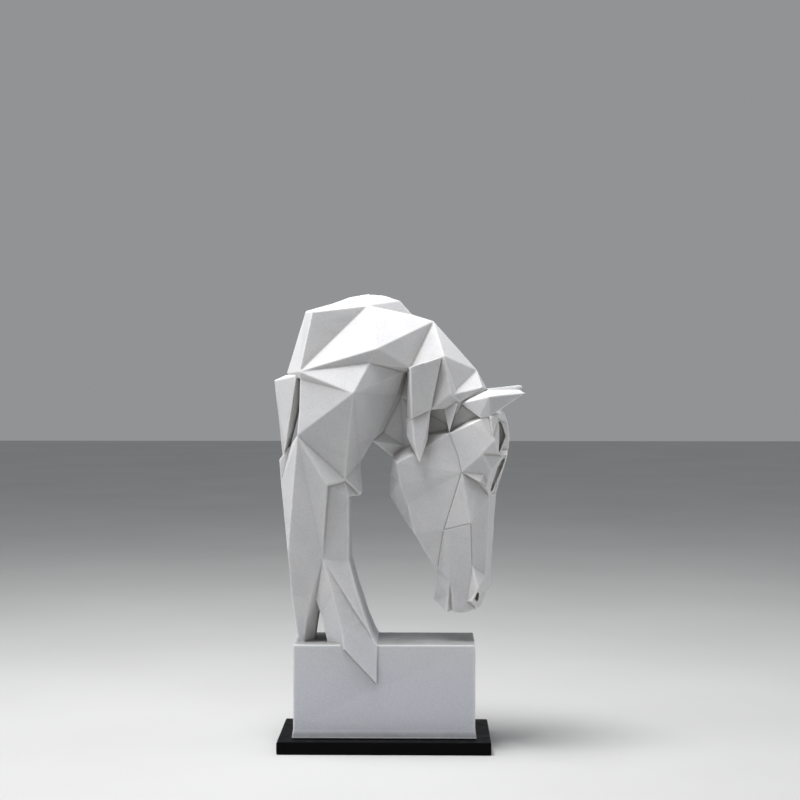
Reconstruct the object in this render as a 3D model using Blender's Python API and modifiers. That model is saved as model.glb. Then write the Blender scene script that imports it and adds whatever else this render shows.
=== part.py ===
"""Faceted horse head statue: one pale casting of head, neck, shard legs and block, on a separate dark plate.

Metres, +Z up. The origin is the centre of the plate's underside. The head hangs towards +X, and the side that
faces the viewer is -Y.
"""
import math

import bmesh
import bpy
from mathutils import Vector
from mathutils.geometry import delaunay_2d_cdt

# Driving sizes, in metres
PLATE_LENGTH = 0.186
PLATE_DEPTH = 0.095
PLATE_HEIGHT = 0.011
PLATE_EDGE = 0.0012
BLOCK_LENGTH = 0.159
BLOCK_DEPTH = 0.067
BLOCK_HEIGHT = 0.082
BLOCK_EDGE = 0.0008
FOOT_HEIGHT = 0.0075
FOOT_FLARE = 0.0015
REST_GAP = 0.0003
FIGURE_HEIGHT = 0.307

# The head is turned a little towards the viewer, about a vertical axis behind the cheek
HEAD_TURN = math.radians(16)
HEAD_AXIS = 18.8

BLOCK_FOOT = PLATE_HEIGHT + REST_GAP
BLOCK_TOP = BLOCK_FOOT + BLOCK_HEIGHT
PERCENT = FIGURE_HEIGHT / 100

# Corners of the figure, in percent of its own height: along, above the block's top, and out from the middle
# plane of the neck or of the head. A form is carved on the near half and mirrored across its middle plane.
NECK_OUTLINE = {
    "back_low": (-28.5, 77, 0),
    "slit_top": (-23.8, 75.5, 10.4),
    "neck_back": (-24, 66, 11.7),
    "elbow": (-24.5, 59.5, 12.5),
    "slit_foot": (-27, 56.5, 4),
    "hip": (-30.5, 52, 2.5),
    "thigh_back": (-30, 45, 2.5),
    "knee_back": (-27.5, 26, 9.5),
    "shin_back": (-26.5, 13, 7.5),
    "heel": (-25, 2.5, 6.6),
    "hoof": (-23.2, -1.5, 6.5),
    "hoof_inner": (-20.5, -1.5, 2.5),
    "window_top": (-19, 8.8, 4.5),
    "window_side": (-18.2, 8.5, 7.6),
    "shard_inner": (-15.8, -1.5, 8.2),
    "shard_foot": (-12, -1.5, 10.7),
    "blade_left": (-11.2, -1.2, 11.7),
    "blade_tip": (-2.1, -11, 11.9),
    "blade_right": (-2, 0, 11.15),
    "shin_low": (-3.3, 2.3, 11.2),
    "shin_mid": (-5.5, 8, 10.9),
    "shin_high": (-8, 16, 10.2),
    "column_low": (-10, 23.5, 9.3),
    "column_top": (-10, 42, 10),
    "chest_heel": (-7.5, 42, 6),
    "chest_low": (-6.5, 42.5, 6),
    "chest_front": (-7, 51.5, 5),
    "notch": (-3.5, 57.5, 4),
    "throat": (2, 53, 1),
    "behind_cheek": (11.5, 55.5, 4.5),
    "behind_temple": (19.5, 61.5, 5),
    "behind_ear": (24.5, 68, 3),
    "poll": (29.5, 72.5, 1),
    "mane_low": (26.5, 78, 2),
    "mane_top": (14, 92, 3.5),
    "crest_dip": (8, 94, 0),
    "crest_5": (4.5, 98, 0),
    "crest_4": (0, 99.5, 0),
    "crest_3": (-5, 100, 0),
    "crest_2": (-10.5, 99, 0),
    "crest_1": (-16, 97, 0),
    "back_top": (-23, 95, 0),
}
NECK_INNER = {
    "side_top": (-20.5, 94.5, 8.5),
    "ridge_top": (-5, 96.5, 4),
    "nape": (-24, 77.5, 11),
    "bulge": (-2, 84, 13.5),
    "fold": (-4, 80, 12.4),
    "shoulder": (-8.5, 71.5, 16),
    "collar": (7.5, 78.5, 8.2),
    "collar_low": (5.6, 77.4, 6.2),
    "throat_edge_1": (3.5, 70.5, 3),
    "throat_edge_2": (-2, 60.5, 4.5),
    "recess_top": (6.5, 77, 1.5),
    "recess_1": (4.5, 70, 1.5),
    "recess_2": (-0.5, 60, 1.5),
    "throat_in": (5.5, 56, 1.5),
    "side_mid": (-10.5, 53, 11.3),
    "chest_side": (-7.5, 57, 8),
    "arm_tip": (-11, 47, 10.3),
    "flap": (-16, 45.5, 13),
    "column_head": (-15.7, 45, 11.2),
    "column_corner": (-11.2, 46.3, 9.7),
    "knee": (-17.5, 24.5, 10),
    "shin_front_1": (-20.3, 15, 8.6),
    "shin_front_2": (-22.3, 6.5, 7.45),
    "valley": (-19.6, 12.8, 7.5),
    "shard_ridge": (-8.3, 10.4, 11.1),
    "shard_fold": (-8.9, 10.1, 10.55),
    "shard_left_1": (-14.7, 15, 10.6),
    "shard_left_2": (-12.1, 4.5, 11.3),
    "mane_peak": (17, 82, 10.2),
    "lock_low": (19, 71, 10.8),
    "lock_heel": (21.5, 69, 9.3),
    "mane_hook": (28, 73, 6.5),
}
NECK_RIDGES = (
    ("back_top", "side_top", "ridge_top", "crest_5"),
    ("side_top", "nape", "ridge_top", "crest_dip"),
    ("ridge_top", "mane_top"),
    ("back_low", "nape", "slit_top"),
    ("nape", "bulge", "ridge_top"),
    ("bulge", "mane_top", "collar", "bulge"),
    ("nape", "fold", "bulge"),
    ("fold", "collar", "collar_low", "shoulder", "fold"),
    ("nape", "shoulder", "elbow"),
    ("collar_low", "throat_edge_1", "throat_edge_2", "notch"),
    ("recess_top", "recess_1", "recess_2", "notch"),
    ("collar", "recess_top"),
    ("elbow", "arm_tip", "flap", "elbow"),
    ("shoulder", "side_mid", "arm_tip"),
    ("shoulder", "chest_side", "chest_front"),
    ("elbow", "knee_back", "knee", "elbow"),
    ("flap", "column_head", "column_corner", "column_top"),
    ("column_corner", "arm_tip"),
    ("flap", "knee", "column_low"),
    ("column_head", "knee"),
    ("knee", "shin_front_1", "shin_front_2", "hoof"),
    ("knee", "valley", "window_side"),
    ("valley", "window_top"),
    ("knee", "shard_left_1", "shard_left_2", "blade_left"),
    ("knee", "shard_ridge", "blade_right", "shard_fold", "knee"),
    ("collar", "mane_peak", "mane_top"),
    ("mane_peak", "mane_low", "lock_low", "mane_peak"),
    ("mane_low", "mane_hook", "lock_low", "lock_heel"),
    ("mane_hook", "poll"),
    ("throat", "throat_in", "notch"),
)
HEAD_OUTLINE = {
    "jaw_top": (2, 52.5, 6.5),
    "jaw_back": (1.5, 47.5, 7),
    "jaw_corner": (1.5, 41.5, 7),
    "jaw_mid": (7, 33, 7),
    "jaw_join": (8.6, 31, 9),
    "jaw_low": (11.5, 26, 7.8),
    "chin_top": (15, 20, 5.8),
    "chin_back": (14, 12, 4),
    "chin_low": (18, 8.5, 6.2),
    "mouth": (19, 9.3, 5),
    "lip_back": (20, 8.5, 5.3),
    "lip_low": (23, 8.5, 5),
    "lip_front": (26.5, 9.5, 2.5),
    "nose_tip": (27.5, 13.5, 3),
    "nose_end": (28.5, 15.5, 3),
    "nose_low": (29, 19.5, 3.2),
    "nose_mid": (29.7, 32.5, 3.3),
    "nose_top": (30, 42, 4),
    "brow_foot": (30.8, 45.5, 4),
    "brow_low": (32.3, 50, 3.7),
    "brow": (34, 53.6, 2.7),
    "brow_top": (32.5, 54.8, 6),
    "forehead_mid": (32.7, 58, 6),
    "forehead": (32.7, 62.5, 5.5),
    "forehead_top": (32, 65.5, 5),
    "crown": (29.5, 69.5, 3),
    "skull_top": (21, 68, 6.5),
    "skull_back": (17.5, 67, 3),
    "recess_foot": (12, 60, 4.5),
    "cheek_top": (11.5, 59.2, 7.5),
    "jowl_top": (6.5, 56.5, 4),
}
HEAD_INNER = {
    "jaw_ridge_1": (3.5, 51.5, 11.2),
    "jaw_ridge_2": (4.5, 45.5, 10.8),
    "jaw_ridge_3": (6.5, 40, 9.9),
    "cheek_ridge": (9, 54.5, 10.3),
    "temple_back": (18.5, 60, 8.6),
    "hollow_0": (18, 60.6, 5),
    "hollow_1": (19.2, 61, 6.5),
    "hollow_2": (27, 64.9, 5.5),
    "temple_top": (25, 63, 8.7),
    "temple_crown": (27.5, 64.3, 8.5),
    "temple_end": (29.3, 64.5, 8.7),
    "temple_front": (31.3, 58, 9.2),
    "brow_in": (27.9, 54.3, 9.2),
    "eye_corner": (22, 49, 9),
    "lid_top": (28.3, 48.5, 7.6),
    "lid": (27, 46.3, 8.5),
    "lid_end": (29.2, 45, 6.8),
    "under_lid": (26.8, 45.9, 6.4),
    "brow_mid": (30.5, 49.5, 7.5),
    "cheek_low": (17, 32.5, 8.8),
    "face_mid": (24.5, 34.5, 8.8),
    "face_band": (24.4, 27.5, 8),
    "chin_crease": (16, 21, 6.6),
    "chin_peak": (18.5, 23, 7.4),
    "mouth_top": (18.6, 18, 6.7),
    "mouth_in": (18.9, 13.5, 5.5),
    "lip_side": (19.5, 13.5, 6),
    "chin_edge": (18.3, 13.5, 6.2),
    "nostril_back": (23.6, 12, 5.6),
    "nostril_side": (25.1, 22.2, 7.2),
    "nostril_top": (26.7, 16, 8.2),
    "nostril_low": (25, 12.4, 7.9),
    "nostril_in": (26.9, 12.6, 3),
}
HEAD_RIDGES = (
    ("jaw_top", "jaw_ridge_1", "jaw_ridge_2", "jaw_ridge_3", "jaw_join", "cheek_low"),
    ("jaw_ridge_1", "jowl_top", "cheek_ridge", "jaw_ridge_1"),
    ("cheek_ridge", "temple_back", "cheek_top"),
    ("recess_foot", "hollow_0", "hollow_1", "hollow_2", "temple_crown"),
    ("jaw_ridge_1", "eye_corner", "temple_back"),
    ("temple_back", "temple_top", "temple_crown", "temple_end"),
    ("temple_end", "temple_front", "brow_in", "eye_corner"),
    ("temple_front", "forehead_mid"),
    ("brow_in", "brow_mid", "lid_end", "nose_top"),
    ("brow_in", "brow_top"),
    ("brow_mid", "brow"),
    ("eye_corner", "lid_top", "lid_end", "lid", "eye_corner"),
    ("eye_corner", "under_lid", "lid_end"),
    ("cheek_low", "eye_corner", "face_mid", "cheek_low"),
    ("face_mid", "nose_top"),
    ("face_mid", "nostril_side", "face_band", "face_mid"),
    ("cheek_low", "chin_crease", "chin_top"),
    ("cheek_low", "chin_peak", "chin_crease"),
    ("chin_peak", "mouth_top", "mouth_in", "mouth"),
    ("mouth_top", "lip_side", "lip_back"),
    ("mouth_top", "chin_edge", "chin_low"),
    ("nostril_side", "nostril_back", "nostril_low", "nostril_top", "nostril_side"),
    ("nostril_low", "nostril_in", "nose_tip", "nostril_top", "nostril_in"),
    ("nostril_low", "lip_front"),
)
# The forehead is hollow between the brows: how far its middle line lies behind the two sides
FOREHEAD_HOLLOW = {
    "brow_foot": 5,
    "brow_low": 6,
    "brow": 3.5,
    "brow_top": 4.5,
    "forehead_mid": 6,
    "forehead": 5,
    "forehead_top": 3,
}

# Shards are the convex hulls of a few corners each
STRUT = (
    (-32, 75, 1.5),
    (-28.5, 76.5, 3),
    (-25, 76.5, 8),
    (-23.7, 76, 4),
    (-23.8, 71.3, 4),
    (-29.5, 53, 2),
    (-28.5, 55.5, 5),
    (-27.6, 56, 2),
)
FRONT_LOCK = (
    (7.5, 79, 12.3),
    (16.3, 81.7, 11.9),
    (13.3, 66.8, 10.5),
    (7.8, 64.2, 10.6),
    (6.5, 78, 4),
    (6.3, 64.4, 5),
    (15, 80, 2),
    (13, 68, 2),
)
LOCK_TIP = (
    (7.9, 64.6, 10.1),
    (13.2, 66.9, 9.9),
    (12.3, 58, 9.9),
    (8.5, 57, 10.5),
    (10.1, 51.4, 10.8),
    (6, 64, 5),
    (6.3, 59, 7),
    (12.8, 66, 2),
)
BACK_LOCK = (
    (17, 82, 10.3),
    (19, 71, 11),
    (21.5, 69, 9.5),
    (17.5, 67, 8.5),
    (12.9, 66.6, 9.8),
    (16.5, 81, 1),
    (21, 70, 1),
    (13, 70, 1),
)
NEAR_EAR = (
    (21.5, 68.5, 6.8),
    (29.5, 72.5, 6),
    (38.5, 72.5, 5.3),
    (40, 71.5, 5.8),
    (29.5, 70.5, 10.2),
    (27, 64.5, 8.6),
    (30, 65, 9),
    (34, 67.5, 6.8),
    (29.5, 67, 2.5),
)
FAR_EAR = (
    (22, 69, -5),
    (29.5, 72.7, -4),
    (39.5, 73.8, -4),
    (40, 73, -4),
    (29.5, 71, -8),
    (29, 65, -6.5),
    (34, 67.5, -5.5),
    (29.5, 67, -2.5),
)
TEMPLE_SHARD = (
    (16.9, 67.2, 8.2),
    (21.1, 68.8, 9.2),
    (18.5, 60, 8.7),
    (19, 65, 1),
)
FORELOCK = (
    (29.4, 65.5, 8.2),
    (32.6, 66, 7.2),
    (30.8, 59.3, 9.5),
    (30, 64.6, 9.5),
    (31, 64, 3),
)
# Cut out of the head: grooves between the brows and down the top of the nose, and the nostrils' pits
FOREHEAD_GROOVE = (
    (32.7, 63.4, 4),
    (34.9, 58.8, 4),
    (32.7, 54, 4.8),
    (33.4, 63.4, -6),
    (35, 58.8, -7.5),
    (33, 54, -6.5),
    (30, 59, -5),
)
NOSE_GROOVE = (
    (34.6, 52.8, 1.5),
    (32.6, 50, 1.5),
    (33.9, 50, 1.5),
    (30, 42.6, 1.5),
    (30.4, 42.6, 1.5),
    (34.8, 52.8, -4),
    (33.9, 50, -5),
    (30.9, 42.8, -3),
    (30.2, 49, -4),
)
NOSTRIL_PIT = (
    (25.3, 12.4, 9),
    (26.7, 15.4, 9),
    (27.2, 13.6, 9),
    (26.5, 10.9, 9),
    (25.9, 12.6, 2.5),
    (26.8, 14.8, 2),
    (27, 13.5, 1.5),
    (26.6, 11.4, 2),
)


def clear_scene():
    for thing in list(bpy.data.objects):
        bpy.data.objects.remove(thing, do_unlink=True)


def new_collection(name):
    collection = bpy.data.collections.new(name)
    bpy.context.scene.collection.children.link(collection)
    return collection


def new_material(name, color, roughness):
    material = bpy.data.materials.new(name)
    material.use_nodes = True
    shader = material.node_tree.nodes["Principled BSDF"]
    shader.inputs["Base Color"].default_value = (*color, 1.0)
    shader.inputs["Roughness"].default_value = roughness
    shader.inputs["Metallic"].default_value = 0.0
    material.diffuse_color = (*color, 1.0)
    return material


def mesh_object(name, bm, collection):
    bmesh.ops.recalc_face_normals(bm, faces=bm.faces[:])
    mesh = bpy.data.meshes.new(name)
    bm.to_mesh(mesh)
    bm.free()
    thing = bpy.data.objects.new(name, mesh)
    collection.objects.link(thing)
    return thing


def neck_point(along, up, out):
    return Vector((along, -out, up)) * PERCENT


def head_point(along, up, out):
    """The same corner in the head's own frame, which turns about HEAD_AXIS."""
    forward = (along - HEAD_AXIS + out * math.sin(HEAD_TURN)) / math.cos(HEAD_TURN)
    return Vector((forward, -out, up)) * PERCENT


def far_head_point(along, up, out):
    """The mirror image of a corner of the head, on the side away from the viewer."""
    near = head_point(along, up, out)
    return Vector((near.x, -near.y, near.z))


def seat(thing, turned):
    """Stands a neck or head form on the block's top."""
    thing.location.z = BLOCK_TOP
    if turned:
        thing.location.x = HEAD_AXIS * PERCENT
        thing.rotation_euler.z = -HEAD_TURN


def carved_form(name, outline, inner, ridges, hollows, point, collection):
    """A form with facets between its named corners, mirrored across its middle plane."""
    corners = {**outline, **inner}
    names = list(corners)
    places = [point(*corners[name]) for name in names]
    flat = [Vector((place.x, place.z)) for place in places]
    edges = [
        (names.index(a), names.index(b))
        for chain in ridges
        for a, b in zip(chain, chain[1:])
    ]
    rim = [names.index(name) for name in outline]
    found, _, faces, sources, _, _ = delaunay_2d_cdt(flat, edges, [rim], 1, 1e-6)
    bm = bmesh.new()
    verts = []
    for spot, source in zip(found, sources):
        verts.append(bm.verts.new(places[source[0]]))
    for face in faces:
        bm.faces.new([verts[index] for index in face])
    behind = {}
    for name, depth in hollows.items():
        behind[places[names.index(name)].freeze()] = depth * PERCENT
    rim_edges = [edge for edge in bm.edges if edge.is_boundary]
    walls = bmesh.ops.extrude_edge_only(bm, edges=rim_edges)
    for vert in (item for item in walls["geom"] if isinstance(item, bmesh.types.BMVert)):
        vert.co.x -= behind.get(vert.co.copy().freeze(), 0.0)
        vert.co.y = 0.0
    bmesh.ops.remove_doubles(bm, verts=bm.verts[:], dist=1e-6)
    form = mesh_object(name, bm, collection)
    mirror = form.modifiers.new("far side", "MIRROR")
    mirror.use_axis = (False, True, False)
    mirror.merge_threshold = 0.00001
    return form


def shard(name, corners, point, collection, both_sides=False):
    """A flat-faced splinter: the convex hull of its corners, and of their mirror images where it goes through."""
    bm = bmesh.new()
    for along, up, out in corners:
        place = point(along, up, out)
        bm.verts.new(place)
        if both_sides:
            bm.verts.new((place.x, -place.y, place.z))
    hull = bmesh.ops.convex_hull(bm, input=bm.verts[:])
    spare = [item for item in hull["geom_interior"] if isinstance(item, bmesh.types.BMVert)]
    bmesh.ops.delete(bm, geom=spare, context="VERTS")
    return mesh_object(name, bm, collection)


def make_block(collection):
    """The block under the figure, which flares out a little over its last few millimetres."""
    bm = bmesh.new()
    bmesh.ops.create_cube(bm, size=1.0)
    bmesh.ops.scale(bm, vec=(BLOCK_LENGTH, BLOCK_DEPTH, BLOCK_HEIGHT), verts=bm.verts[:])
    bmesh.ops.translate(bm, vec=(0.0, 0.0, BLOCK_FOOT + BLOCK_HEIGHT / 2), verts=bm.verts[:])
    bmesh.ops.bisect_plane(
        bm,
        geom=bm.verts[:] + bm.edges[:] + bm.faces[:],
        plane_co=(0.0, 0.0, BLOCK_FOOT + FOOT_HEIGHT),
        plane_no=(0.0, 0.0, 1.0),
    )
    for vert in bm.verts:
        if vert.co.z < BLOCK_FOOT + FOOT_HEIGHT / 2:
            vert.co.x += math.copysign(FOOT_FLARE, vert.co.x)
            vert.co.y += math.copysign(FOOT_FLARE, vert.co.y)
    block = mesh_object("block", bm, collection)
    soften(block, BLOCK_EDGE)
    return block


def soften(thing, width):
    bevel = thing.modifiers.new("soft edges", "BEVEL")
    bevel.width = width
    bevel.segments = 2
    bevel.limit_method = "ANGLE"


def make_plate(collection):
    bm = bmesh.new()
    bmesh.ops.create_cube(bm, size=1.0)
    bmesh.ops.scale(bm, vec=(PLATE_LENGTH, PLATE_DEPTH, PLATE_HEIGHT), verts=bm.verts[:])
    bmesh.ops.translate(bm, vec=(0.0, 0.0, PLATE_HEIGHT / 2), verts=bm.verts[:])
    plate = mesh_object("base_plate", bm, collection)
    soften(plate, PLATE_EDGE)
    return plate


def make_cast(collection, joined, cutters):
    cast = carved_form(
        "horse_cast", NECK_OUTLINE, NECK_INNER, NECK_RIDGES, {}, neck_point, collection
    )
    seat(cast, turned=False)
    head = carved_form(
        "head", HEAD_OUTLINE, HEAD_INNER, HEAD_RIDGES, FOREHEAD_HOLLOW, head_point, joined
    )
    seat(head, turned=True)
    grooves = (
        shard("forehead_groove", FOREHEAD_GROOVE, head_point, cutters),
        shard("nose_groove", NOSE_GROOVE, head_point, cutters),
        shard("near_nostril", NOSTRIL_PIT, head_point, cutters),
        shard("far_nostril", NOSTRIL_PIT, far_head_point, cutters),
    )
    for groove in grooves:
        seat(groove, turned=True)
        cut = head.modifiers.new(groove.name, "BOOLEAN")
        cut.operation = "DIFFERENCE"
        cut.object = groove
    strut = shard("rear_strut", STRUT, neck_point, joined, both_sides=True)
    seat(strut, turned=False)
    locks = {"front_lock": FRONT_LOCK, "lock_tip": LOCK_TIP, "back_lock": BACK_LOCK}
    for name, corners in locks.items():
        lock = shard(name, corners, neck_point, joined)
        seat(lock, turned=False)
    head_shards = {
        "near_ear": NEAR_EAR,
        "far_ear": FAR_EAR,
        "temple_shard": TEMPLE_SHARD,
        "forelock": FORELOCK,
    }
    for name, corners in head_shards.items():
        piece = shard(name, corners, head_point, joined)
        seat(piece, turned=True)
    make_block(joined)
    union = cast.modifiers.new("one casting", "BOOLEAN")
    union.operation = "UNION"
    union.operand_type = "COLLECTION"
    union.collection = joined
    return cast


def main():
    clear_scene()
    parts = new_collection("geometric_horse_head_statue")
    joined = new_collection("joined_shapes")
    cutters = new_collection("cutters")
    cast = make_cast(parts, joined, cutters)
    plate = make_plate(parts)
    cast.data.materials.append(new_material("pale_cast", (0.72, 0.71, 0.69), 0.75))
    plate.data.materials.append(new_material("black_plate", (0.02, 0.02, 0.02), 0.35))
    for helper in [*joined.objects, *cutters.objects]:
        helper.hide_render = True
        helper.display_type = "WIRE"


main()
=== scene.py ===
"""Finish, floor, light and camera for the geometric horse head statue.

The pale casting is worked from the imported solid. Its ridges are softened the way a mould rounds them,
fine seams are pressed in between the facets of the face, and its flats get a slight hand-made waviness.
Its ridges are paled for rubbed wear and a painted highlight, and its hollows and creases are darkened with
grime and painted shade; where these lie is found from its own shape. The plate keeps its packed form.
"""
import math

import bpy
import numpy as np
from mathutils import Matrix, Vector
from mathutils import noise
from mathutils.bvhtree import BVHTree


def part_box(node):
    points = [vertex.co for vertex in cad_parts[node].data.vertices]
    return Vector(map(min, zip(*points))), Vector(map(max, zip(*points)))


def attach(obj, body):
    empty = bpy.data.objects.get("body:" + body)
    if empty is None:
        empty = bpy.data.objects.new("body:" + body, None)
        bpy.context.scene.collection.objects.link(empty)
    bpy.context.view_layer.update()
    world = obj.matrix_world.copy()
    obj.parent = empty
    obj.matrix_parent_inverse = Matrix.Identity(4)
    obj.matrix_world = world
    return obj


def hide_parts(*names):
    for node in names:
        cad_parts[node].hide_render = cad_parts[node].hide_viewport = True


MM = 0.001
MICROMETRE_DIGITS = 6

# Casting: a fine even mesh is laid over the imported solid, its edges are softened, and its flats are thinned
WELD_REACH = 0.01 * MM
FINE_VOXEL = 0.6 * MM
SOFTEN_ROUNDS = 4
SOFTEN_SHARE = 0.5
TRIANGLE_LIMIT = 185000

# Unevenness of the hand-made surface: a slow wave and a fine grit
WAVE_LENGTH = 14 * MM
WAVE_HEIGHT = 0.16 * MM
GRIT_LENGTH = 2.6 * MM
GRIT_HEIGHT = 0.03 * MM

# Facets: an edge that turns by more degrees than this stays crisp, and large faces lead the shading
SHARP_ANGLE = 22
FACET_WEIGHT = 100

# Ridges, paled for rubbed wear and a painted highlight, which stand out by this much from a rounder form
RIDGE_ROUNDS = 6
RIDGE_FULL = 0.1 * MM

# Shaded hollows, found by rays that start just off the surface and meet the form within reach. Where the
# surface looks nearly straight up or down, their directions are laid out from X and not from Z
HOLLOW_REACH = 45 * MM
HOLLOW_RAYS = 24
RAY_START = 0.4 * MM
UPRIGHT_LIMIT = 0.9

# Heights above the plate at which a tint is full and at which it has faded out: the darker band towards the
# casting's foot, the painted highlight along its rim, and the cooler grey of the block
FOOT_FULL = 4.0 * MM
FOOT_TOP = 8.5 * MM
RIM_FULL = 1.2 * MM
RIM_TOP = 2.0 * MM
COOL_FULL = 49.0 * MM
COOL_TOP = 109.0 * MM

# Top of the block: its height above the floor, and how low and how level a face lies that belongs to it
BLOCK_TOP = 93.3 * MM
LEDGE_TOP = 97.0 * MM
LEDGE_LEVEL = 0.75

# Fine seams between the facets of the face: each is a line of corners, along X and above the block's top,
# in percent of the figure's height
SEAM_WIDTH = 0.75 * MM
SEAM_DEPTH = 0.45 * MM
SEAMS = (
    ((18.5, 60), (20.8, 54), (22, 49), (17, 32.5), (24.5, 34.5)),
    ((16.8, 32), (15.3, 21.8)),
    ((24.6, 34.2), (25, 22.4)),
    ((22.3, 48.8), (24.6, 47.4), (26.9, 46.2), (29, 45.1)),
)

# Middle plane of the head: its turn towards the viewer, where it crosses the statue's own middle plane in
# percent along X, and how squarely a face has to look sideways to get seams
HEAD_TURN = math.radians(16)
HEAD_AXIS = 18.8
SIDE_FACING = 0.3

# Colours of the casting
STONE_GREY = (0.525, 0.525, 0.54)
STONE_PALE = (0.58, 0.576, 0.578)
BLOCK_GREY = (0.515, 0.535, 0.6)
GRAIN_PALE = (0.69, 0.69, 0.7)
PIT_DARK = (0.3, 0.29, 0.28)
# Pale on the ridges: rubbed wear together with a painted highlight where their edges catch the light
RIDGE_WEAR_AND_HIGHLIGHT_PALE = (0.83, 0.825, 0.815)
# Olive-brown in the hollows: grime together with painted shade
GRIME_AND_SHADE_OLIVE = (0.34, 0.315, 0.24)
# Painted shade: dark lines in the creases and seams
CREASE_SHADE_DARK = (0.22, 0.205, 0.175)
# Darker on the block's top: a painted shadow together with dust
LEDGE_SHADOW_AND_DUST_GREY = (0.28, 0.28, 0.275)
# Darker towards the casting's foot
FOOT_GREY = (0.23, 0.232, 0.24)
# Painted highlight: a pale line along the rim at the foot
RIM_HIGHLIGHT_PALE = (0.8, 0.8, 0.8)

# Colours of the plate and of the floor
LACQUER_BLACK = (0.0025, 0.0025, 0.003)
DUST_GREY = (0.02, 0.02, 0.02)
FLOOR_GREY = (0.55, 0.55, 0.545)
FLOOR_PALE = (0.59, 0.59, 0.585)

# Range that a noise texture mostly keeps to
NOISE_LOW = 0.3
NOISE_HIGH = 0.7

# Colour sockets of the Mix node, whose names it also gives to its sockets for numbers
MIX_FIRST = 6
MIX_SECOND = 7
MIX_RESULT = 2

# Camera, at the viewpoint from which the outlines agree: its place in metres, its lens and sensor in
# millimetres, and how far it looks down and to the left in degrees
CAMERA_PLACE = (0.0382, -1.405, 0.3327)
CAMERA_LENS = 71.1
SENSOR_WIDTH = 36.0
CAMERA_DOWN = 1.087
CAMERA_LEFT = 1.015

# Light and floor, with places and sizes in metres: name, place, size and watts of each softbox, the point at
# which they aim, and the pale world around
SOFTBOXES = (
    ("overhead softbox", (-0.2, -0.14, 1.3), 0.45, 18.0),
    ("left softbox", (-1.15, -0.3, 0.6), 0.6, 4.5),
    ("right softbox", (1.2, -0.1, 0.6), 0.6, 3.2),
)
LIGHT_AIM = (0.0, 0.0, 0.25)
WORLD_COLOR = (0.95, 0.97, 1.0)
WORLD_STRENGTH = 0.3
FLOOR_SIZE = 12.0


def add_object(name, data):
    thing = bpy.data.objects.new(name, data)
    bpy.context.scene.collection.objects.link(thing)
    return thing


def paint(thing, material):
    thing.data.materials.clear()
    thing.data.materials.append(material)


def bake_modifiers(piece):
    """Gives the piece the mesh that its modifiers make, and takes them off."""
    graph = bpy.context.evaluated_depsgraph_get()
    made = bpy.data.meshes.new_from_object(piece.evaluated_get(graph))
    old = piece.data
    piece.modifiers.clear()
    piece.data = made
    bpy.data.meshes.remove(old)


def vectors_of(mesh, name):
    """The places ("co") or the normals ("normal") of a mesh's points, one row for each."""
    flat = np.empty(len(mesh.vertices) * 3, np.float32)
    mesh.vertices.foreach_get(name, flat)
    return flat.reshape(-1, 3).astype(np.float64)


def set_points(mesh, points):
    mesh.vertices.foreach_set("co", points.astype(np.float32).ravel())
    mesh.update()


def store(mesh, name, values):
    """Keeps one number for each point on the mesh, for the material to read."""
    layer = mesh.attributes.new(name, "FLOAT", "POINT")
    layer.data.foreach_set("value", values.astype(np.float32))


def fine_copy(node):
    """The node's own form as one fine even mesh, in a new piece."""
    piece = add_object("horse_casting", node.data.copy())
    weld = piece.modifiers.new("weld", "WELD")
    weld.merge_threshold = WELD_REACH
    remesh = piece.modifiers.new("even mesh", "REMESH")
    remesh.mode = "VOXEL"
    remesh.voxel_size = FINE_VOXEL
    bake_modifiers(piece)
    return piece


def smoothed(mesh, points, rounds):
    """Each point moves a share of the way to the middle of its neighbours, several times."""
    edges = np.empty(len(mesh.edges) * 2, np.int64)
    mesh.edges.foreach_get("vertices", edges)
    first, second = edges.reshape(-1, 2).T
    count = np.bincount(np.concatenate((first, second)), minlength=len(points))
    count = np.maximum(count, 1)[:, None]
    result = points.copy()
    for _ in range(rounds):
        total = np.zeros_like(result)
        for axis in range(3):
            total[:, axis] += np.bincount(first, result[second, axis], minlength=len(points))
            total[:, axis] += np.bincount(second, result[first, axis], minlength=len(points))
        result += (total / count - result) * SOFTEN_SHARE
    return result


def figure_percent():
    """One percent of the figure's height above the block, without the frame's noise in the last digits."""
    return round((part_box("horse_cast")[1].z - BLOCK_TOP) / 100, MICROMETRE_DIGITS)


def beside_seams(points):
    """How near each point lies to a seam, seen along Y: 0 outside it and 1 on its line."""
    percent = figure_percent()
    nearest = np.full(len(points), np.inf)
    flat = points[:, [0, 2]]
    for seam in SEAMS:
        corners = [np.array((along * percent, BLOCK_TOP + up * percent)) for along, up in seam]
        for start, end in zip(corners, corners[1:]):
            run = end - start
            share = np.clip((flat - start) @ run / (run @ run), 0, 1)
            away = np.linalg.norm(flat - start - share[:, None] * run, axis=1)
            nearest = np.minimum(nearest, away)
    return np.clip(1 - nearest / SEAM_WIDTH, 0, 1)


def seam_share(points, normals):
    """The same for both sides of the head: the far side mirrors the near one across the head's plane."""
    across = np.array((math.sin(HEAD_TURN), math.cos(HEAD_TURN), 0.0))
    side = (points - (HEAD_AXIS * figure_percent(), 0.0, 0.0)) @ across
    near = (side < 0) & (normals @ across < -SIDE_FACING)
    far = (side > 0) & (normals @ across > SIDE_FACING)
    mirrored = points - 2 * side[:, None] * across
    return beside_seams(points) * near + beside_seams(mirrored) * far


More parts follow.
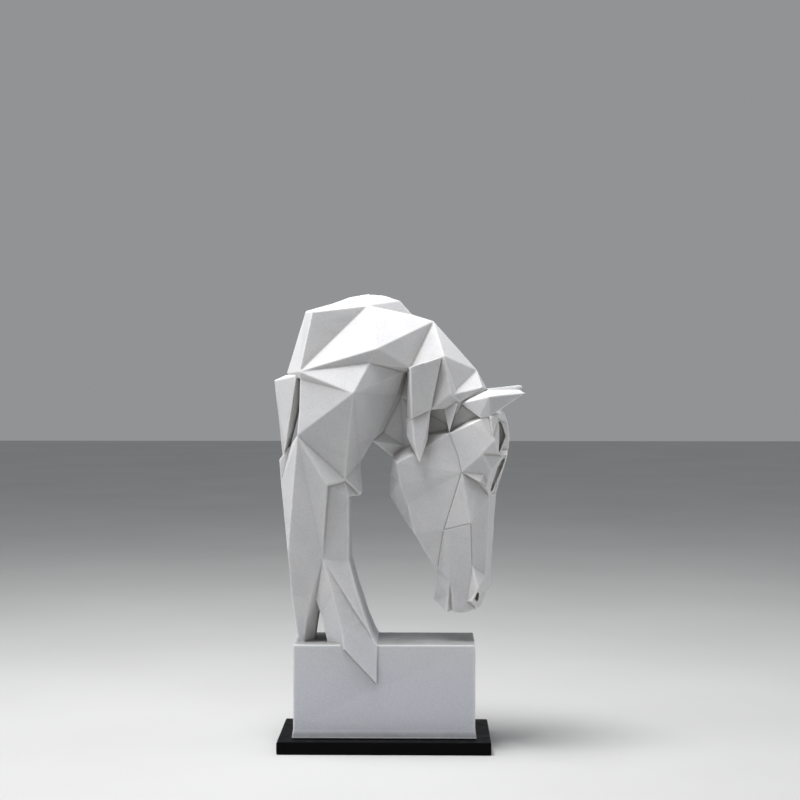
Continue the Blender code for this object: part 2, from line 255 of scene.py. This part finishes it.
def soften_and_seam(mesh):
    """Rounds the edges, stores where the ridges and creases are, and presses the seams in."""
    points = smoothed(mesh, vectors_of(mesh, "co"), SOFTEN_ROUNDS)
    set_points(mesh, points)
    normals = vectors_of(mesh, "normal")
    rounder = smoothed(mesh, points, RIDGE_ROUNDS)
    bulge = ((points - rounder) * normals).sum(axis=1) / RIDGE_FULL
    seams = seam_share(points, normals)
    store(mesh, "ridge", np.clip(bulge, 0, 1))
    store(mesh, "crease", np.maximum(np.clip(-bulge, 0, 1), seams))
    set_points(mesh, points - normals * (seams * SEAM_DEPTH)[:, None])


def thin_flats(piece):
    """Spends fewer triangles on the flats, which need none, and keeps them along the ridges."""
    triangles = sum(len(face.vertices) - 2 for face in piece.data.polygons)
    if triangles <= TRIANGLE_LIMIT:
        return
    thin = piece.modifiers.new("thin flats", "DECIMATE")
    thin.ratio = TRIANGLE_LIMIT / triangles
    bake_modifiers(piece)


def spiral_directions(count):
    """Directions spread over a half sphere about +Z, more of them near the pole."""
    directions = []
    for index in range(count):
        lift = math.sqrt((index + 0.5) / count)
        turn = index * math.pi * (3 - math.sqrt(5))
        reach = math.sqrt(1 - lift * lift)
        directions.append((reach * math.cos(turn), reach * math.sin(turn), lift))
    return np.array(directions)


def hollowness(points, normals, tree):
    """How far each point is shut in by the form around it, from 0 in the open to 1."""
    upright = np.abs(normals[:, 2:3]) >= UPRIGHT_LIMIT
    helper = np.where(upright, [[1.0, 0.0, 0.0]], [[0.0, 0.0, 1.0]])
    side = np.cross(normals, helper)
    side /= np.linalg.norm(side, axis=1)[:, None]
    other = np.cross(normals, side)
    found = np.zeros(len(points))
    starts = points + normals * RAY_START
    for ray in spiral_directions(HOLLOW_RAYS):
        ways = side * ray[0] + other * ray[1] + normals * ray[2]
        for index in range(len(points)):
            distance = tree.ray_cast(starts[index], ways[index], HOLLOW_REACH)[3]
            if distance is not None:
                found[index] += 1 - distance / HOLLOW_REACH
    return found / HOLLOW_RAYS


def waviness(points, length, height):
    """Unevenness in waves of one length, as an offset along the normal at each point."""
    return np.array([noise.noise(Vector(point) / length) for point in points]) * height


def mark_and_roughen(mesh, node):
    """Stores where the hollows and the block's top are, and makes the surface slightly uneven."""
    points = vectors_of(mesh, "co")
    normals = vectors_of(mesh, "normal")
    tree = BVHTree.FromPolygons(
        [tuple(vertex.co) for vertex in node.data.vertices],
        [tuple(face.vertices) for face in node.data.polygons],
    )
    store(mesh, "hollow", hollowness(points, normals, tree))
    level = np.clip((normals[:, 2] - LEDGE_LEVEL) / (1 - LEDGE_LEVEL), 0, 1)
    store(mesh, "ledge", level * (points[:, 2] < LEDGE_TOP))
    offset = waviness(points, WAVE_LENGTH, WAVE_HEIGHT) + waviness(points, GRIT_LENGTH, GRIT_HEIGHT)
    set_points(mesh, points + normals * offset[:, None])


def crisp_facets(piece):
    """Shades each facet as one flat, with its sharp edges kept."""
    piece.data.shade_smooth()
    piece.data.set_sharp_from_angle(angle=math.radians(SHARP_ANGLE))
    facets = piece.modifiers.new("facet normals", "WEIGHTED_NORMAL")
    facets.mode = "FACE_AREA"
    facets.weight = FACET_WEIGHT
    facets.keep_sharp = True
    bake_modifiers(piece)


def make_casting(node):
    """The finished form of the casting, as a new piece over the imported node."""
    piece = fine_copy(node)
    soften_and_seam(piece.data)
    thin_flats(piece)
    mark_and_roughen(piece.data, node)
    crisp_facets(piece)
    return piece


class Nodes:
    """Short calls for building one material's node tree. The scale of a noise is in cells to the metre."""

    def __init__(self, name):
        self.material = bpy.data.materials.new(name)
        self.material.use_nodes = True
        self.tree = self.material.node_tree
        self.shader = self.tree.nodes["Principled BSDF"]
        self.place = self.tree.nodes.new("ShaderNodeTexCoord").outputs["Object"]

    def link(self, source, target):
        self.tree.links.new(source, target)

    def noise(self, scale, detail=2.0, roughness=0.5):
        node = self.tree.nodes.new("ShaderNodeTexNoise")
        node.inputs["Scale"].default_value = scale
        node.inputs["Detail"].default_value = detail
        node.inputs["Roughness"].default_value = roughness
        self.link(self.place, node.inputs["Vector"])
        return node.outputs["Fac"]

    def grains(self, scale):
        """The distance to the middle of the nearest grain, where 1 is the size of a grain."""
        node = self.tree.nodes.new("ShaderNodeTexVoronoi")
        node.inputs["Scale"].default_value = scale
        self.link(self.place, node.inputs["Vector"])
        return node.outputs["Distance"]

    def height(self):
        node = self.tree.nodes.new("ShaderNodeSeparateXYZ")
        self.link(self.place, node.inputs["Vector"])
        return node.outputs["Z"]

    def attribute(self, name):
        node = self.tree.nodes.new("ShaderNodeAttribute")
        node.attribute_name = name
        return node.outputs["Fac"]

    def spread(self, value, low, high, start=0.0, end=1.0):
        """A value from low to high, turned into one from start to end."""
        node = self.tree.nodes.new("ShaderNodeMapRange")
        node.inputs["From Min"].default_value = low
        node.inputs["From Max"].default_value = high
        node.inputs["To Min"].default_value = start
        node.inputs["To Max"].default_value = end
        self.link(value, node.inputs["Value"])
        return node.outputs["Result"]

    def patches(self, scale, start, end, detail=4.0):
        """A value that drifts between start and end in soft patches."""
        return self.spread(self.noise(scale, detail), NOISE_LOW, NOISE_HIGH, start, end)

    def times(self, value, share):
        """A value times a number or another value."""
        node = self.tree.nodes.new("ShaderNodeMath")
        node.operation = "MULTIPLY"
        self.link(value, node.inputs[0])
        if isinstance(share, float):
            node.inputs[1].default_value = share
        else:
            self.link(share, node.inputs[1])
        return node.outputs["Value"]

    def mix(self, share, first, second):
        """The first colour, with a share from 0 to 1 of the second over it."""
        node = self.tree.nodes.new("ShaderNodeMix")
        node.data_type = "RGBA"
        self.link(share, node.inputs["Factor"])
        if isinstance(first, tuple):
            node.inputs[MIX_FIRST].default_value = (*first, 1.0)
        else:
            self.link(first, node.inputs[MIX_FIRST])
        node.inputs[MIX_SECOND].default_value = (*second, 1.0)
        return node.outputs[MIX_RESULT]

    def bump(self, height, distance, strength, below=None):
        node = self.tree.nodes.new("ShaderNodeBump")
        node.inputs["Distance"].default_value = distance
        node.inputs["Strength"].default_value = strength
        self.link(height, node.inputs["Height"])
        if below is not None:
            self.link(below, node.inputs["Normal"])
        return node.outputs["Normal"]


def cast_material(plate_top):
    """Pale grey cast stone and resin: sandy grain, ridges paled for rubbed wear and a painted highlight, and
    olive-brown grime with painted shade in the hollows and creases.
    """
    nodes = Nodes("pale_cast")

    # Mottled greys, cooler on the block, with pale grains and dark pits
    mottle = nodes.spread(nodes.noise(38.0, detail=4.0), 0.32, 0.68)
    color = nodes.mix(mottle, STONE_GREY, STONE_PALE)
    cool = nodes.spread(nodes.height(), plate_top + COOL_TOP, plate_top + COOL_FULL)
    color = nodes.mix(cool, color, BLOCK_GREY)
    grain = nodes.spread(nodes.noise(800.0, detail=3.0, roughness=0.75), 0.33, 0.67)
    color = nodes.mix(nodes.times(grain, 0.5), color, GRAIN_PALE)
    pits = nodes.spread(nodes.grains(640.0), 0.0, 0.3, start=0.5, end=0.0)
    color = nodes.mix(pits, color, PIT_DARK)

    # Ridges paled for rubbed wear and a painted highlight; hollows and creases darkened with grime and
    # painted shade
    # Painted highlight with rubbed wear: paler along the ridges
    ridge = nodes.times(nodes.attribute("ridge"), 0.45)
    color = nodes.mix(ridge, color, RIDGE_WEAR_AND_HIGHLIGHT_PALE)
    # Painted shade with grime: darker olive-brown where the form shuts a point in
    grime_and_shade = nodes.spread(nodes.attribute("hollow"), 0.13, 0.6, start=0.0, end=0.3)
    patchy_grime_and_shade = nodes.times(grime_and_shade, nodes.patches(90.0, 0.6, 1.0))
    color = nodes.mix(patchy_grime_and_shade, color, GRIME_AND_SHADE_OLIVE)
    # Painted shade: darker along the creases and the seams
    crease = nodes.times(nodes.attribute("crease"), 0.6)
    color = nodes.mix(crease, color, CREASE_SHADE_DARK)

    # Block: painted shadow and dust on its top, darker towards its foot, and a painted highlight along its
    # rim
    # Painted shadow with dust: darker on the block's top
    ledge = nodes.times(nodes.attribute("ledge"), nodes.patches(60.0, 0.6, 0.9))
    color = nodes.mix(ledge, color, LEDGE_SHADOW_AND_DUST_GREY)
    # Darker towards the foot of the casting
    foot = nodes.spread(nodes.height(), plate_top + FOOT_FULL, plate_top + FOOT_TOP, start=0.8, end=0.0)
    foot = nodes.times(foot, nodes.patches(70.0, 0.75, 1.0))
    color = nodes.mix(foot, color, FOOT_GREY)
    # Painted highlight: a pale line along the rim at the very foot
    rim_highlight = nodes.spread(nodes.height(), plate_top + RIM_FULL, plate_top + RIM_TOP, start=0.85, end=0.0)
    color = nodes.mix(rim_highlight, color, RIM_HIGHLIGHT_PALE)
    nodes.link(color, nodes.shader.inputs["Base Color"])

    # Dull surface with a sandy relief
    nodes.link(nodes.patches(700.0, 0.66, 0.86, detail=2.0), nodes.shader.inputs["Roughness"])
    nodes.shader.inputs["Specular IOR Level"].default_value = 0.35
    coarse = nodes.bump(nodes.noise(420.0, detail=3.0, roughness=0.6), 0.3 * MM, strength=0.35)
    fine = nodes.bump(nodes.noise(1700.0, roughness=0.7), 0.12 * MM, strength=0.5, below=coarse)
    nodes.link(fine, nodes.shader.inputs["Normal"])
    return nodes.material


def plate_material():
    """Near-black satin lacquer with a little dust and faint unevenness."""
    nodes = Nodes("black_plate")
    dust = nodes.spread(nodes.noise(260.0, detail=5.0, roughness=0.7), 0.55, 0.85, start=0.0, end=0.2)
    color = nodes.mix(dust, LACQUER_BLACK, DUST_GREY)
    nodes.link(color, nodes.shader.inputs["Base Color"])
    nodes.link(nodes.patches(120.0, 0.32, 0.46), nodes.shader.inputs["Roughness"])
    nodes.shader.inputs["Specular IOR Level"].default_value = 0.04
    uneven = nodes.bump(nodes.noise(300.0, detail=3.0), 0.2 * MM, strength=0.3)
    nodes.link(uneven, nodes.shader.inputs["Normal"])
    return nodes.material


def floor_material():
    nodes = Nodes("floor")
    color = nodes.mix(nodes.patches(3.0, 0.0, 1.0, detail=3.0), FLOOR_GREY, FLOOR_PALE)
    nodes.link(color, nodes.shader.inputs["Base Color"])
    nodes.shader.inputs["Roughness"].default_value = 0.85
    return nodes.material


def make_floor():
    bpy.ops.mesh.primitive_plane_add(size=FLOOR_SIZE)
    floor = bpy.context.object
    floor.name = "floor"
    paint(floor, floor_material())


def make_light():
    world = bpy.data.worlds.new("pale studio")
    world.use_nodes = True
    backdrop = world.node_tree.nodes["Background"]
    backdrop.inputs["Color"].default_value = (*WORLD_COLOR, 1.0)
    backdrop.inputs["Strength"].default_value = WORLD_STRENGTH
    bpy.context.scene.world = world
    for name, place, size, watts in SOFTBOXES:
        data = bpy.data.lights.new(name, "AREA")
        data.size = size
        data.energy = watts
        lamp = add_object(name, data)
        lamp.location = place
        aim = Vector(LIGHT_AIM) - Vector(place)
        lamp.rotation_euler = aim.to_track_quat("-Z", "Y").to_euler()


def make_camera():
    data = bpy.data.cameras.new("camera")
    data.lens = CAMERA_LENS
    data.sensor_width = SENSOR_WIDTH
    camera = add_object("camera", data)
    camera.location = CAMERA_PLACE
    camera.rotation_euler = (math.radians(90 - CAMERA_DOWN), 0.0, math.radians(CAMERA_LEFT))
    bpy.context.scene.camera = camera


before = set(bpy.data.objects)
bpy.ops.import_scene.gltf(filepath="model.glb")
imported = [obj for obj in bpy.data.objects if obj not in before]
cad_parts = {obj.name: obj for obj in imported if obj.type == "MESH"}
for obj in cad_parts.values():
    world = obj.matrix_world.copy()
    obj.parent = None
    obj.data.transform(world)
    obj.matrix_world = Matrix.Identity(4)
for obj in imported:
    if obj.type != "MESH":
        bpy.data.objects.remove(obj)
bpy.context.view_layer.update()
bpy.context.scene.view_settings.view_transform = "Standard"

make_camera()
make_light()
make_floor()

casting = make_casting(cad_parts["horse_cast"])
paint(casting, cast_material(plate_top=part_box("base_plate")[1].z))
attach(casting, "root")
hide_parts("horse_cast")

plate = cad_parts["base_plate"]
paint(plate, plate_material())
